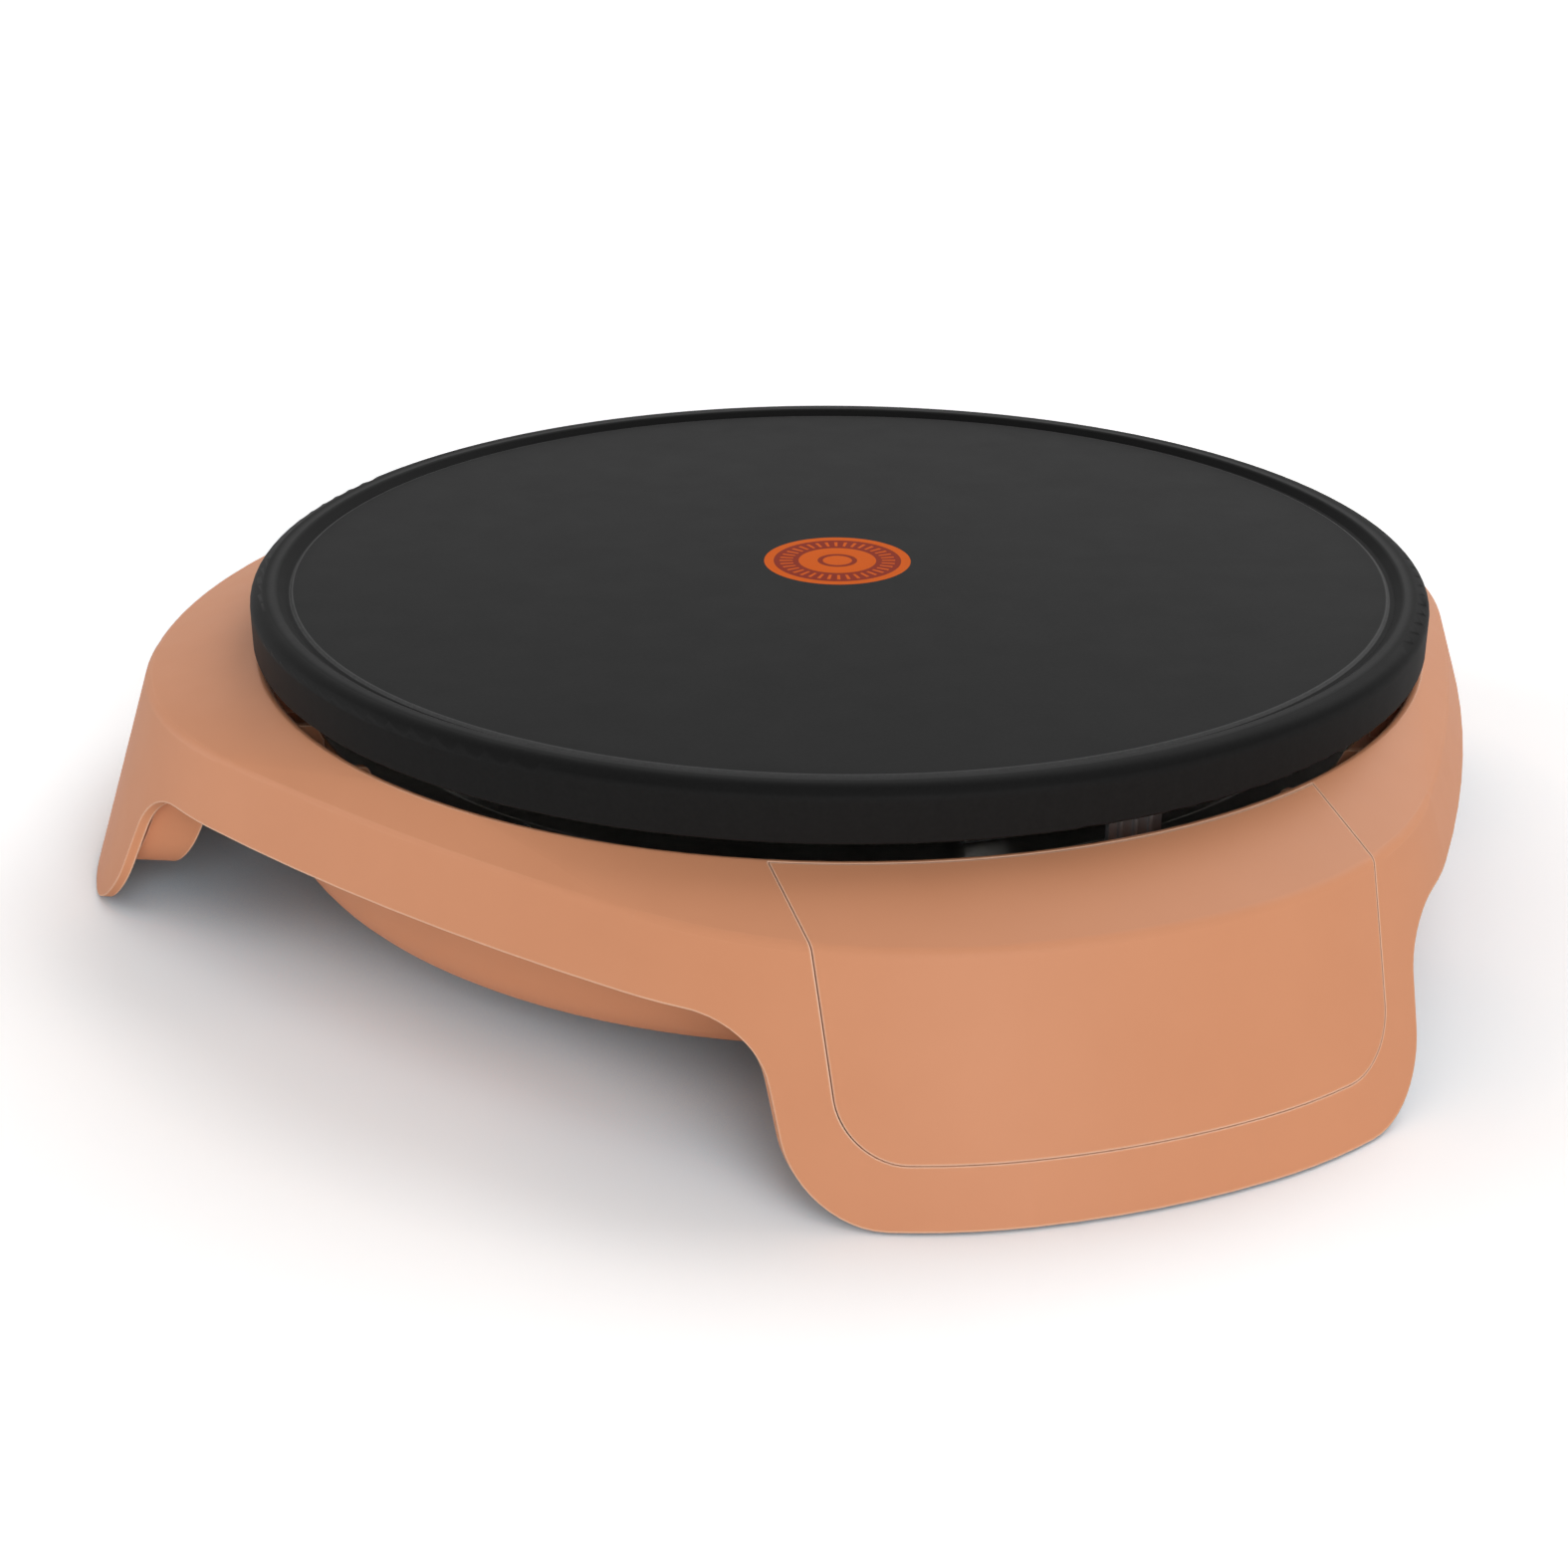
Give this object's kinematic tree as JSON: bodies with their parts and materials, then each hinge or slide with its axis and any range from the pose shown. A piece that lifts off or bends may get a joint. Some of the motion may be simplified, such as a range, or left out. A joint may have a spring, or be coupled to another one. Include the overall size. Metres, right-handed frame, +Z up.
{
  "type": "electric crepe maker",
  "caption": "Low round countertop griddle: a lift-off coated plate on a three-legged moulded base that holds a heating element and thermostat.",
  "frame": {"origin": "on the plate's axis at table level", "axes": "+Z up along the plate's axis, front leg and its fascia towards -Y, +X to the right seen from the front"},
  "size_m": [0.4512, 0.4178, 0.0915],
  "materials": {
    "plate_coating": "matt non-stick coating on cast aluminium",
    "copper_body": "satin copper-coloured moulding",
    "rubber": "soft black rubber",
    "steel": "pressed zinc-plated steel",
    "reflector": "bright aluminised sheet",
    "element": "dark heat-tinted sheath",
    "ceramic": "white steatite ceramic",
    "dark_plastic": "black heat-resistant moulding",
    "aluminium": "turned aluminium",
    "brass": "bright brass",
    "silicone": "red silicone glass sleeve",
    "lead_blue": "blue lead insulation",
    "lead_brown": "brown lead insulation",
    "lead_white": "white silicone lead insulation",
    "lead_green": "green and yellow lead insulation",
    "zinc": "zinc-plated screws"
  },
  "bodies": {
    "base": {"base_shell": "copper_body", "bottom_cover": "copper_body", "clamp_screws": "zinc", "cord_clamp": "dark_plastic", "cord_inlet": "dark_plastic", "cover_screws": "zinc", "earth_lead": "lead_green", "earth_tag": "brass", "element_bracket_front": "steel", "element_bracket_left": "steel", "element_bracket_right": "steel", "element_bushes": "ceramic", "element_pins": "steel", "foot_front": "rubber", "foot_left": "rubber", "foot_right": "rubber", "front_panel": "copper_body", "fuse_clip": "steel", "fuse_lead": "lead_white", "fuse_sleeve": "silicone", "heating_element": "element", "leg_liner_front": "copper_body", "leg_liner_left": "copper_body", "leg_liner_right": "copper_body", "liner_screws": "zinc", "live_lead": "lead_brown", "neutral_lead": "lead_blue", "plate_support_front": "steel", "plate_support_left": "steel", "plate_support_right": "steel", "reflector_pan": "reflector", "reflector_screws": "zinc", "rivets": "zinc", "sensor_guide": "steel", "sensor_spring": "steel", "support_screws": "zinc", "switch_blades": "brass", "switch_bracket": "steel", "switched_lead": "lead_white", "terminal_block": "ceramic", "terminal_screws": "brass", "thermal_fuse": "brass", "thermostat_switch": "dark_plastic"},
    "plate": {"griddle_plate": "plate_coating"},
    "sensor": {"sensor_cap": "aluminium", "push_rod": "ceramic"}
  },
  "joints": [
    {"name": "plate_lift", "type": "slide", "parent": "base", "child": "plate", "axis": [0, 0, 1], "range_m": [0, 0.06]},
    {"name": "sensor_press", "type": "slide", "parent": "base", "child": "sensor", "axis": [0, 0, 1], "range_m": [-0.002, 0], "stiffness_N_per_m": 300, "springref_m": 0.004, "deforming": ["sensor_spring"]}
  ]
}
